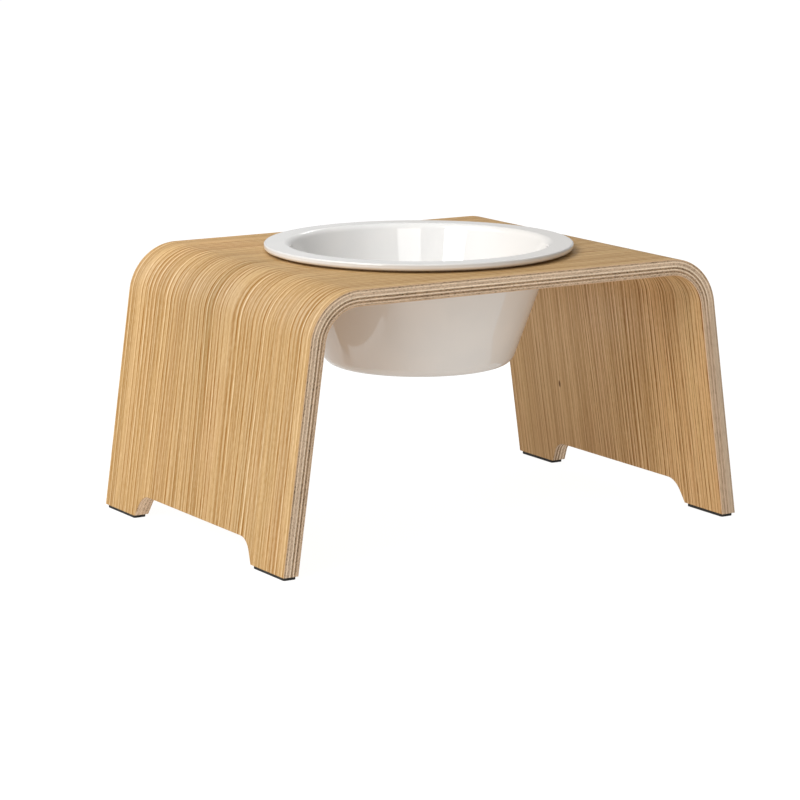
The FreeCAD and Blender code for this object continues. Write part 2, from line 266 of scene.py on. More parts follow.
def whole_face(build, layer, up, rect):
    """The broad face of a ply, map laid out by distance along and depth."""

    def place(s, y):
        return within(rect, (s + REACH) / (2 * REACH), (y + HALF) / (2 * HALF))

    def signed(n):
        return tuple(up * c for c in n)

    n = len(RAYS)
    flip = up < 0
    for k in range(NR):
        for i in range(n):
            quad = []
            for kk, ii in ((k, i), (k + 1, i), (k + 1, (i + 1) % n), (k, (i + 1) % n)):
                p = flat_pt(kk, ii, layer.d, layer.inset)
                quad.append((layer.ring[kk, ii], (0, 0, up), place(p[0], p[1])))
            build.face(quad, flip)
    for side in (1, -1):
        for part, rows, table, point in (("bend", NB, layer.bend, bend_pt), ("leg", NL, layer.leg, leg_pt)):
            for k in range(rows):
                for j in range(M - 1):
                    quad = []
                    for kk, jj in ((k, j), (k + 1, j), (k + 1, j + 1), (k, j + 1)):
                        p = point(side, kk, jj, layer.d, layer.inset)
                        s = along(side, part, kk, point(side, kk, jj, 0, 0)[2])
                        quad.append((table[side, kk, jj], signed(up_normal(side, part, kk)), place(s, p[1])))
                    build.face(quad, flip != (side < 0))


def tilted(face_normal, edge_normal, lift):
    """A normal between the edge's (lift 0) and the face's (lift 1 up, -1 down)."""
    a = lift * math.pi / 2
    c, s = math.cos(a), math.sin(a)
    return tuple(c * e + s * f for e, f in zip(edge_normal, face_normal))


def walls(build, layers, rects):
    """Edges of a ply between its levels. layers: (level, lift of the normal, way across)."""
    total = layers[-1][2]
    for (la, fa, wa), (lb, fb, wb) in zip(layers, layers[1:]):
        va, vb = wa / total, wb / total
        for name, j, out in (("front", 0, (0, -1, 0)), ("rear", M - 1, (0, 1, 0))):
            ea, eb = la.long_edge(j), lb.long_edge(j)
            for n in range(len(ea) - 1):
                quad = []
                for edge, f, v, m in ((ea, fa, va, n), (eb, fb, vb, n), (eb, fb, vb, n + 1), (ea, fa, va, n + 1)):
                    vert, s, up = edge[m]
                    quad.append((vert, tilted(up, out, f), within(rects[name], (s + REACH) / (2 * REACH), v)))
                build.face(quad, flip=(name == "rear"))
        for name, side in (("right", 1), ("left", -1)):
            up = up_normal(side, "leg", NL)
            for j in range(M - 1):
                na, nb = COLS[j][3], COLS[j + 1][2]
                quad = []
                for lay, f, v, m, nn in (
                    (la, fa, va, j, na),
                    (lb, fb, vb, j, na),
                    (lb, fb, vb, j + 1, nb),
                    (la, fa, va, j + 1, nb),
                ):
                    out = (0, -nn[0], -nn[1])
                    u = (COLS[m][0] + HALF) / (2 * HALF)
                    quad.append((lay.leg[side, NL, m], tilted(up, out, f), within(rects[name], u, v)))
                build.face(quad, flip=(side < 0))
        n = len(RAYS)
        turn = 0.0
        for i in range(n):
            quad = []
            angles = []
            for ii in (i, i + 1):
                p = flat_pt(0, ii % n, 0, 0)
                angles.append(math.atan2(p[1], p[0]))
            step = (angles[1] - angles[0]) % (2 * math.pi)
            for lay, f, v, ii, a, t in (
                (la, fa, va, i, angles[0], turn),
                (la, fa, va, i + 1, angles[1], turn + step),
                (lb, fb, vb, i + 1, angles[1], turn + step),
                (lb, fb, vb, i, angles[0], turn),
            ):
                out = (-math.cos(a), -math.sin(a), 0)
                quad.append((lay.ring[0, ii % n], tilted((0, 0, 1), out, f), within(rects["hole"], t / (2 * math.pi), v)))
            turn += step
            build.face(quad)


EASE = 0.32  # rounding of the outer edges of the face veneers


def ply(name, node, d0, d1, ease):
    """ease: 'outer', 'inner' or None, the side whose edges are rounded."""
    build = Build()
    big, thin = (0.004, 0.004, 0.996, 0.846), (0.004, 0.975, 0.996, 0.990)
    strips = {
        "front": (0.004, 0.856, 0.996, 0.878),
        "rear": (0.004, 0.884, 0.996, 0.906),
        "hole": (0.004, 0.912, 0.996, 0.930),
        "right": (0.004, 0.936, 0.496, 0.966),
        "left": (0.504, 0.936, 0.996, 0.966),
    }
    outer_rect, inner_rect = (big, thin) if ease == "outer" else (thin, big)
    if ease is None:
        outer_rect, inner_rect = (0.004, 0.962, 0.996, 0.976), (0.004, 0.982, 0.996, 0.996)
        strips = {
            "front": (0.004, 0.006, 0.996, 0.256),
            "rear": (0.004, 0.268, 0.996, 0.518),
            "hole": (0.004, 0.530, 0.996, 0.750),
            "right": (0.004, 0.762, 0.996, 0.850),
            "left": (0.004, 0.862, 0.996, 0.950),
        }
    steps = 4
    levels = []  # (depth, inset, lift, way across)
    across = 0.0
    if ease == "outer":
        for n in range(steps + 1):
            a = math.pi / 2 * n / steps
            levels.append((d0 + EASE * (1 - math.cos(a)), EASE * (1 - math.sin(a)), 1 - n / steps, EASE * a))
        across = EASE * math.pi / 2
        levels.append((d1, 0.0, 0.0, across + d1 - d0 - EASE))
    elif ease == "inner":
        levels.append((d0, 0.0, 0.0, 0.0))
        for n in range(steps + 1):
            a = math.pi / 2 * n / steps
            levels.append((d1 - EASE * (1 - math.sin(a)), EASE * (1 - math.cos(a)), -n / steps, d1 - d0 - EASE + EASE * a))
    else:
        levels = [(d0, 0.0, 0.0, 0.0), (d1, 0.0, 0.0, d1 - d0)]
    layers = []
    for n, (d, inset, lift, way) in enumerate(levels):
        whole = n in (0, len(levels) - 1)
        layers.append((Layer(build, d, inset, whole), lift, way))
    whole_face(build, layers[0][0], 1, outer_rect)
    whole_face(build, layers[-1][0], -1, inner_rect)
    walls(build, layers, strips)
    piece = build.make(name)
    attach(piece, "stand")
    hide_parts(node)
    return piece


pieces = {}
depth = 0.0
for node, thick in PLIES:
    ease = {"outer_oak_veneer": "outer", "inner_oak_veneer": "inner"}.get(node)
    pieces[node] = ply(node.replace("_oak", "").replace("core_ply", "core") + "_sheet", node, depth, depth + thick, ease)
    pieces[node]["from_depth"], pieces[node]["to_depth"] = depth, depth + thick
    depth += thick


# A turned shape: corner points (radius, height, rounding) in order; the wall
# lies to the right of the way they run, seen with the axis on the left.
def rounded(corners, closed):
    """Points (radius, height, normal) with every corner rounded."""
    count = len(corners)
    runs = []
    for n, (r, z, radius) in enumerate(corners):
        if not radius:
            runs.append([(r, z)])
            continue
        pr, pz, _ = corners[(n - 1) % count]
        nr, nz, _ = corners[(n + 1) % count]
        a = np.array([pr - r, pz - z], float)
        b = np.array([nr - r, nz - z], float)
        a, b = a / np.linalg.norm(a), b / np.linalg.norm(b)
        half = math.acos(max(-1, min(1, float(a @ b)))) / 2
        start = np.array([r, z]) + a * radius / math.tan(half)
        mid = (a + b) / np.linalg.norm(a + b)
        centre = np.array([r, z]) + mid * radius / math.sin(half)
        sweep = math.pi - 2 * half
        first = start - centre
        sign = 1 if (a[0] * b[1] - a[1] * b[0]) < 0 else -1
        steps = max(4, int(math.ceil(sweep / math.radians(7.0))))
        arc = []
        for m in range(steps + 1):
            t = sign * sweep * m / steps
            c, s = math.cos(t), math.sin(t)
            arc.append(tuple(centre + np.array([c * first[0] - s * first[1], s * first[0] + c * first[1]])))
        runs.append(arc)
    line = []
    for n, run in enumerate(runs):
        line += [(p, len(run) > 1, n, m, len(run)) for m, p in enumerate(run)]
    out = []
    total = len(line)
    for n, (p, is_arc, corner, m, size) in enumerate(line):
        # tangent: along the straight stretch at an arc's ends, between neighbours inside it
        before, after = line[(n - 1) % total][0], line[(n + 1) % total][0]
        if is_arc and m == 0:
            t = np.subtract(p, before)
        elif is_arc and m == size - 1:
            t = np.subtract(after, p)
        elif not closed and n == 0:
            t = np.subtract(after, p)
        elif not closed and n == total - 1:
            t = np.subtract(p, before)
        else:
            t = np.subtract(after, before)
        t = t / np.linalg.norm(t)
        out.append((p[0], p[1], (t[1], -t[0])))
    return out


def filled_in(points, longest, closed):
    """Adds points on long straight stretches."""
    out = []
    count = len(points)
    for n in range(count if closed else count - 1):
        a, b = points[n], points[(n + 1) % count]
        out.append(a)
        length = math.hypot(b[0] - a[0], b[1] - a[1])
        steps = int(math.ceil(length / longest))
        for m in range(1, steps):
            f = m / steps
            nn = (a[2][0] + b[2][0], a[2][1] + b[2][1])
            size = math.hypot(*nn)
            out.append((lerp(a[0], b[0], f), lerp(a[1], b[1], f), (nn[0] / size, nn[1] / size)))
    if not closed:
        out.append(points[-1])
    return out


def turned(name, points, around, closed, rect=(0.004, 0.004, 0.996, 0.996)):
    """Spins (radius, height, normal) about the vertical axis."""
    build = Build()
    ways = [0.0]
    loop = points + ([points[0]] if closed else [])
    for a, b in zip(loop, loop[1:]):
        ways.append(ways[-1] + math.hypot(b[0] - a[0], b[1] - a[1]))
    rows = []
    for r, z, _ in points:
        if r < 1e-6:
            rows.append([build.add((0, 0, z))] * around)
        else:
            rows.append(
                [
                    build.add((r * math.cos(2 * math.pi * i / around), r * math.sin(2 * math.pi * i / around), z))
                    for i in range(around)
                ]
            )
    if closed:
        rows.append(rows[0])
    for n in range(len(loop) - 1):
        for i in range(around):
            quad = []
            for m, ii in ((n, i), (n, i + 1), (n + 1, i + 1), (n + 1, i)):
                r, z, nn = loop[m]
                a = 2 * math.pi * ii / around
                normal = (nn[0] * math.cos(a), nn[0] * math.sin(a), nn[1])
                quad.append((rows[m][ii % around], normal, within(rect, ii / around, ways[m] / ways[-1])))
            if loop[n][0] < 1e-6:
                quad = [quad[0], quad[2], quad[3]]
            elif loop[n + 1][0] < 1e-6:
                quad = [quad[0], quad[1], quad[2]]
            build.face(quad)
    return build.make(name)


LEAN = math.tan(math.radians(20.2))
ACROSS = 6.3 / math.cos(math.radians(20.2))
Z_UNDER, Z_RIM, Z_LOW = 200.6, 205.6, 114.7
Z_FLOOR, Z_RECESS = Z_LOW + 6.0, Z_LOW + 1.5


def outside(z):
    return 100.4 + (z - TOP) * LEAN


BOWL = [
    (0.0, Z_RECESS, 0),
    (52.0, Z_RECESS, 0.6),
    (52.0, Z_LOW, 0.6),
    (outside(Z_LOW), Z_LOW, 11.0),
    (outside(Z_UNDER), Z_UNDER, 2.5),
    (115.0, Z_UNDER, 2.45),
    (115.0, Z_RIM, 1.5),
    (outside(Z_RIM) - ACROSS, Z_RIM, 6.0),
    (outside(Z_FLOOR) - ACROSS, Z_FLOOR, 16.0),
    (0.0, Z_FLOOR, 0),
]


def swollen(points, angle):
    """The outside of the wall shades as if it swelled very slightly: its normals
    turn down a little more, less and less towards the base and the rim."""
    out = []
    for r, z, nn in points:
        on_wall = nn[0] > 0.5 and z < Z_UNDER
        f = math.radians(angle) * min(1.0, max(0.0, (z - Z_LOW - 1.0) / 9.0)) * min(1.0, max(0.0, (Z_UNDER - z) / 3.0))
        if on_wall:
            nn = (nn[0] * math.cos(f) + nn[1] * math.sin(f), nn[1] * math.cos(f) - nn[0] * math.sin(f))
        out.append((r, z, nn))
    return out


bowl = turned("glazed_bowl", swollen(filled_in(rounded(BOWL, False), 6.0, False), 2.4), 240, False)
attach(bowl, "bowl")
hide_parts("bowl")

RING = [(102.5, 199.0, 0.4), (108.0, 199.0, 0.4), (108.0, 200.6, 0.4), (102.5, 200.6, 0.4)]
ring = turned("soft_ring", filled_in(rounded(RING, True), 1.5, True), 240, True)
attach(ring, "ring")
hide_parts("bowl_seal_ring")


# Foot pads: a flat block with rounded corners and eased rims.
def pad(name, node, cx, cy):
    w, l, corner, high, ease = 5.0, 21.8, 1.6, FOOT, 0.3
    outline = []
    for qx, qy, start in ((1, 1, 0), (-1, 1, 90), (-1, -1, 180), (1, -1, 270)):
        for n in range(9):
            a = math.radians(start + 90 * n / 8)
            outline.append((qx * (w - corner), qy * (l - corner), math.cos(a), math.sin(a)))
    levels = []  # height, inset, upward part of the normal
    for n in range(4):
        a = math.pi / 2 * n / 3
        levels.append((ease * (1 - math.cos(a)), ease * (1 - math.sin(a)), -math.cos(a)))
    for n in range(4):
        a = math.pi / 2 * n / 3
        levels.append((high - ease * (1 - math.sin(a)), ease * (1 - math.cos(a)), math.sin(a)))
    build = Build()
    rows = []
    for z, inset, lift in levels:
        rows.append([build.add((cx + x + (corner - inset) * c, cy + y + (corner - inset) * s, z)) for x, y, c, s in outline])
    count = len(outline)
    for n in range(len(levels) - 1):
        for i in range(count):
            quad = []
            for m, ii in ((n, i), (n, i + 1), (n + 1, i + 1), (n + 1, i)):
                x, y, c, s = outline[ii % count]
                lift = levels[m][2]
                flat = math.sqrt(max(0.0, 1 - lift * lift))
                quad.append((rows[m][ii % count], (c * flat, s * flat, lift), within((0.01, 0.01, 0.99, 0.24), ii / count, m / (len(levels) - 1))))
            build.face(quad)
    for row, up, rect in ((rows[0], -1, (0.01, 0.26, 0.99, 0.60)), (rows[-1], 1, (0.01, 0.64, 0.99, 0.98))):
        # the flat faces as strips from one long side to the other
        mids = {}
        for i, v in enumerate(row):
            mids[i] = (v, (0, 0, up), within(rect, (outline[i][1] + (corner) * outline[i][3] + l) / (2 * l), (outline[i][0] + corner * outline[i][2] + w) / (2 * w)))
        # quarter arcs: 0-8 (+x+y), 9-17 (-x+y), 18-26 (-x-y), 27-35 (+x-y)
        for n in range(8):
            build.face([mids[n], mids[n + 1], mids[16 - n], mids[17 - n]], flip=up < 0)
            build.face([mids[18 + n], mids[19 + n], mids[34 - n], mids[35 - n]], flip=up < 0)
        build.face([mids[35], mids[0], mids[17], mids[18]], flip=up < 0)
    piece = build.make(name)
    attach(piece, "stand")
    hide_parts(node)
    return piece


pads = [
    pad("pad_front_left", "foot_pad_front_left", -188.2, -113.4),
    pad("pad_front_right", "foot_pad_front_right", 188.2, -113.4),
    pad("pad_rear_left", "foot_pad_rear_left", -188.2, 113.4),
    pad("pad_rear_right", "foot_pad_rear_right", 188.2, 113.4),
]


# ---------------------------------------------------------------- materials
class Nodes:
    """Short calls for building a node tree."""

    def __init__(self, tree):
        self.tree = tree

    def new(self, kind, **settings):
        node = self.tree.nodes.new(kind)
        for key, value in settings.items():
            setattr(node, key, value)
        return node

    def put(self, socket, value):
        if isinstance(value, bpy.types.NodeSocket):
            self.tree.links.new(value, socket)
        else:
            socket.default_value = value

    def math(self, operation, *values, clamp=False):
        node = self.new("ShaderNodeMath", operation=operation, use_clamp=clamp)
        for socket, value in zip(node.inputs, values):
            self.put(socket, value)
        return node.outputs[0]

    def vector(self, x, y, z):
        node = self.new("ShaderNodeCombineXYZ")
        for socket, value in zip(node.inputs, (x, y, z)):
            self.put(socket, value)
        return node.outputs[0]

    def noise(self, vector, detail=2.0, rough=0.5, distortion=0.0):
        node = self.new("ShaderNodeTexNoise", noise_dimensions="3D")
        self.put(node.inputs["Vector"], vector)
        node.inputs["Scale"].default_value = 1.0
        node.inputs["Detail"].default_value = detail
        node.inputs["Roughness"].default_value = rough
        node.inputs["Distortion"].default_value = distortion
        return node.outputs["Fac"]

    def hashed(self, value):
        node = self.new("ShaderNodeTexWhiteNoise", noise_dimensions="1D")
        self.put(node.inputs["W"], value)
        return node.outputs["Value"]

    def ramp(self, value, low, high, to_low=0.0, to_high=1.0, smooth=True):
        node = self.new("ShaderNodeMapRange", interpolation_type="SMOOTHSTEP" if smooth else "LINEAR")
        self.put(node.inputs["Value"], value)
        for key, number in (("From Min", low), ("From Max", high), ("To Min", to_low), ("To Max", to_high)):
            self.put(node.inputs[key], number)
        return node.outputs["Result"]

    def mix(self, factor, a, b, blend="MIX"):
        node = self.new("ShaderNodeMix", data_type="RGBA", blend_type=blend, clamp_factor=True)
        self.put(node.inputs["Factor"], factor)
        for socket, value in ((node.inputs[6], a), (node.inputs[7], b)):
            if not isinstance(value, bpy.types.NodeSocket):
                value = (*value, 1.0)
            self.put(socket, value)
        return node.outputs[2]

    def scaled(self, colour, factor):
        node = self.new("ShaderNodeVectorMath", operation="SCALE")
        self.put(node.inputs[0], colour)
        self.put(node.inputs["Scale"], factor)
        return node.outputs[0]

    def added(self, a, b):
        node = self.new("ShaderNodeVectorMath", operation="ADD")
        self.put(node.inputs[0], a)
        self.put(node.inputs[1], b)
        return node.outputs[0]

    def bump(self, height, distance, strength=1.0, normal=None):
        node = self.new("ShaderNodeBump")
        node.inputs["Strength"].default_value = strength
        node.inputs["Distance"].default_value = distance
        self.put(node.inputs["Height"], height)
        if normal is not None:
            self.put(node.inputs["Normal"], normal)
        return node.outputs["Normal"]


def linear(r, g, b):
    """A colour given in 0-255 steps of a screen."""
    return tuple((c / 255 / 12.92) if c / 255 <= 0.04045 else ((c / 255 + 0.055) / 1.055) ** 2.4 for c in (r, g, b))


def material(name):
    mat = bpy.data.materials.new(name)
    mat.use_nodes = True
    tree = mat.node_tree
    tree.nodes.clear()
    n = Nodes(tree)
    out = n.new("ShaderNodeOutputMaterial")
    shader = n.new("ShaderNodeBsdfPrincipled")
    tree.links.new(shader.outputs[0], out.inputs["Surface"])
    return mat, n, shader


def sheet_group():
    """Place in the bent sheet: distance along it from the middle, place across
    it and depth under its outer face, in mm."""
    group = bpy.data.node_groups.new("bent_sheet", "ShaderNodeTree")
    for name in ("Along", "Across", "Depth"):
        group.interface.new_socket(name, in_out="OUTPUT", socket_type="NodeSocketFloat")
    n = Nodes(group)
    where = n.new("ShaderNodeTexCoord").outputs["Object"]
    parts = n.new("ShaderNodeSeparateXYZ")
    n.put(parts.inputs[0], n.scaled(where, 1000.0))
    x, y, z = parts.outputs
    qx = n.math("SUBTRACT", n.math("ABSOLUTE", x), FLAT)
    qz = n.math("SUBTRACT", z, ZC)
    turn = n.math("MINIMUM", n.math("MAXIMUM", n.math("ARCTAN2", qx, qz), 0.0), TURN)
    leg = n.math("MAXIMUM", n.math("SUBTRACT", n.math("MULTIPLY", qx, SIN), n.math("MULTIPLY", qz, COS)), 0.0)
    way = n.math("ADD", n.math("MINIMUM", qx, 0.0), FLAT)
    way = n.math("ADD", way, n.math("MULTIPLY", turn, BEND))
    way = n.math("ADD", way, leg)
    way = n.math("MULTIPLY", way, n.math("SIGN", x))
    deep = n.math("ADD", n.math("MULTIPLY", qx, n.math("SINE", turn)), n.math("MULTIPLY", qz, n.math("COSINE", turn)))
    deep = n.math("SUBTRACT", BEND, deep)
    out = n.new("NodeGroupOutput")
    for socket, value in zip(out.inputs, (way, y, deep)):
        n.put(socket, value)
    return group


SHEET = sheet_group()


def oak(name, seed, tones, spacing, dark, pale, speck, red, lean, sides, paler, calm, warmer, patches, knots=()):
    """Straight-grained oak face veneer under a satin lacquer. tones: pale ground,
    deep ground, growth line. spacing: of the growth lines. dark, pale: strength of
    the growth lines and of the pale lines beside them. speck: strength of the short
    flecks. red: share of reddish streaks. lean: slope of the grain in the middle of
    one leg, as (slope, along, width). sides: brightness of the cut edge on the left
    leg, the top and the right leg, painted light and shade. paler: how much paler
    the left leg's front and the whole rear are; a paler rear is painted light, a
    darker one painted shade. calm: how much less the rear is figured. warmer: how
    much warmer the front is, painted warm light. patches: soft changes of colour as
    (along, across, length, width, gain), partly tone and partly painted light and
    shade, a painted sheen on a bend among them. knots: pin knots as (along,
    across, length, width). Lengths are in mm."""
    mat, n, shader = material(name)
    sheet = n.new("ShaderNodeGroup", node_tree=SHEET)
    s, y, d = (sheet.outputs[k] for k in ("Along", "Across", "Depth"))

    def at(ls, ly, extra, across=None):
        return n.vector(n.math("DIVIDE", s, ls), n.math("DIVIDE", across if across is not None else y, ly), seed + extra)

    def centred(fac, size):
        return n.math("MULTIPLY", n.math("SUBTRACT", fac, 0.5), size)

    # the grain leans a little one way and the other, and wavers
    slope, middle, width = lean
    reach = n.math("MULTIPLY", n.math("TANH", n.math("DIVIDE", n.math("SUBTRACT", s, middle), 120.0)), 120.0 * slope)
    off = n.math("DIVIDE", y, width)
    reach = n.math("MULTIPLY", reach, n.math("EXPONENT", n.math("MULTIPLY", n.math("MULTIPLY", off, off), -1.0)))
    yw = n.math("SUBTRACT", y, reach)
    yw = n.math("ADD", yw, centred(n.noise(at(330, 60, 0.0), 0.0), 8.0))
    yw = n.math("ADD", yw, centred(n.noise(at(110, 18, 3.7), 1.0), 1.2))
    yw = n.math("ADD", yw, centred(n.noise(at(26, 4.5, 7.1), 1.0), 0.38))

    def rings(spacing, uneven, extra, length):
        """Growth lines: each darkens, ends sharply and is followed by a pale line."""
        r = n.math("ADD", n.math("DIVIDE", yw, spacing), centred(n.noise(at(5000, spacing * 5, extra, yw), 2.0), uneven))
        part = n.math("FRACT", r)
        number = n.math("FLOOR", r)
        strength = n.ramp(n.hashed(n.math("ADD", number, seed * 3 + extra)), 0.0, 1.0, 0.35, 1.0, smooth=False)
        fade = n.noise(n.vector(n.math("DIVIDE", s, length), n.math("MULTIPLY", number, 3.17), seed + extra + 1.3), 3.0, 0.6)
        strength = n.math("MULTIPLY", strength, n.ramp(fade, 0.3, 0.7, 0.30, 1.20))
        line = n.math("MULTIPLY", n.ramp(part, 0.42, 0.78), n.ramp(part, 0.83, 0.97, 1.0, 0.0))
        thin = n.math("MULTIPLY", n.ramp(part, 0.0, 0.09), n.ramp(part, 0.12, 0.36, 1.0, 0.0))
        return n.math("MULTIPLY", line, strength), n.math("MULTIPLY", thin, strength)

    dark1, pale1 = rings(spacing, 1.45, 11.0, 26.0)
    dark2, pale2 = rings(0.6 * spacing, 1.6, 23.0, 15.0)
    # some stretches carry strong lines, others hardly any
    zone = n.ramp(n.noise(at(240, 14, 29.0, yw), 1.0, 0.5), 0.32, 0.68, 0.68, 1.2)
    dark1, pale1 = n.math("MULTIPLY", dark1, zone), n.math("MULTIPLY", pale1, zone)
    streak = n.noise(at(38, 0.9, 31.0, yw), 3.0, 0.6)
    fleck = n.noise(at(4.2, 0.7, 33.0, yw), 2.0, 0.55)
    fibre = n.noise(at(12, 0.3, 37.0, yw), 2.0, 0.6)
    pore = n.ramp(n.noise(at(5.5, 0.24, 41.0, yw), 1.0, 0.5), 0.62, 0.74)
    broad = n.noise(at(600, 28, 47.0, yw), 1.0, 0.55)
    middle = n.noise(at(420, 10, 53.0, yw), 1.0, 0.55)
    warm = n.noise(at(180, 22, 59.0, yw), 1.0, 0.5)
    flush = n.noise(at(90, 4.0, 61.0, yw), 2.0, 0.6)

    ground, deep, stripe = tones
    colour = n.mix(n.ramp(broad, 0.3, 0.7, 0.0, 0.6), linear(*ground), linear(*deep))
    colour = n.mix(n.ramp(middle, 0.36, 0.66, 0.0, 1.0), colour, linear(*(0.95 * c for c in deep)))
    # pinkish and olive regions, and reddish streaks
    colour = n.mix(n.ramp(warm, 0.50, 0.78, 0.0, 0.3), colour, linear(deep[0] * 1.03, deep[1] * 1.01, deep[2] * 1.09))
    colour = n.mix(n.ramp(warm, 0.22, 0.45, 0.3, 0.0), colour, linear(deep[0], deep[1] * 1.055, deep[2] * 1.06))
    colour = n.mix(n.ramp(flush, 0.52, 0.78, 0.0, red), colour, linear(deep[0] * 0.93, deep[1] * 0.84, deep[2] * 0.80))
    # lighter fibres are also paler
    light = n.math("ADD", centred(streak, 0.65), centred(fleck, speck))
    light = n.math("ADD", light, centred(fibre, 0.24))
    colour = n.added(colour, n.scaled((0.52, 0.46, 0.36), light))
    thin = n.math("ADD", n.math("MULTIPLY", pale1, pale), n.math("MULTIPLY", pale2, 0.6 * pale), clamp=True)
    colour = n.mix(thin, colour, linear(ground[0] + 27.0, ground[1] + 35.0, ground[2] + 43.0))
    line = n.math("ADD", n.math("MULTIPLY", dark1, dark), n.math("MULTIPLY", dark2, 0.6 * dark), clamp=True)
    colour = n.mix(line, colour, linear(*stripe))
    colour = n.mix(n.math("MULTIPLY", pore, 0.30), colour, linear(*(0.82 * c for c in stripe)))
    colour = n.mix(n.ramp(y, -60.0, 80.0, 0.0, calm), colour, (0.575, 0.373, 0.187))
    # painted light: warmer towards the front edge, by warmer
    colour = n.mix(n.ramp(y, -95.0, 15.0, warmer, 0.0), colour, (1.0, 0.96, 0.88), "MULTIPLY")
    # brighter on the left leg's front and over the rear by paler; at the rear this is painted light where paler is
    # positive, painted shade where it is negative
    front = n.math("MULTIPLY", n.ramp(y, -125.0, -50.0, paler[0], 0.0), n.ramp(s, -215.0, -150.0, 1.0, 0.0))
    colour = n.scaled(colour, n.math("ADD", n.math("ADD", 1.0, front), n.ramp(y, 10.0, 120.0, 0.0, paler[1])))
    # soft patches of tone and of painted light and shade, a painted sheen on a bend among them
    for ps, py, length, width, gain in patches:
        way = n.math("DIVIDE", n.math("SUBTRACT", s, ps), length)
        off = n.math("DIVIDE", n.math("SUBTRACT", y, py), width)
        far = n.math("ADD", n.math("MULTIPLY", way, way), n.math("MULTIPLY", off, off))
        shade = n.math("EXPONENT", n.math("MULTIPLY", far, -1.0))
        changed = n.mix(1.0, colour, gain, "MULTIPLY")
        colour = n.mix(shade, colour, changed)
    for ks, ky, length, width in knots:
        way = n.math("DIVIDE", n.math("SUBTRACT", s, ks), length)
        off = n.math("DIVIDE", n.math("SUBTRACT", y, ky), width)
        far = n.math("SQRT", n.math("ADD", n.math("MULTIPLY", way, way), n.math("MULTIPLY", off, off)))
        colour = n.mix(n.ramp(far, 0.45, 1.1, 0.85, 0.0), colour, linear(84, 52, 30))
    # the cut edge of the veneer is painted paler and greyer than its face, partly a painted edge highlight; sides sets
    # it brighter or darker on each leg and the top, painted light and shade
    cut = n.ramp(n.math("ABSOLUTE", y), HALF - EASE * 0.75, HALF - EASE * 0.15)
    side = n.math("ADD", n.ramp(s, -200.0, -130.0, sides[0], sides[1]), n.ramp(s, 130.0, 200.0, 0.0, sides[2] - sides[1]))
    pale_edge_and_highlight = n.scaled(linear(ground[0] * 1.05, ground[1] * 1.08, ground[2] * 1.24), side)
    colour = n.mix(n.math("MULTIPLY", cut, 0.9), colour, pale_edge_and_highlight)
    n.put(shader.inputs["Base Color"], colour)

    rough = n.math("ADD", 0.52, centred(streak, 0.16))
    rough = n.math("ADD", rough, n.math("MULTIPLY", pore, 0.16))
    n.put(shader.inputs["Roughness"], rough)
    shader.inputs["Specular IOR Level"].default_value = 0.05
    height = n.math("SUBTRACT", n.math("MULTIPLY", fibre, 0.35), n.math("MULTIPLY", pore, 0.6))
    height = n.math("SUBTRACT", height, n.math("MULTIPLY", line, 0.25))
    n.put(shader.inputs["Normal"], n.bump(height, 0.00012, 0.6))
    return mat


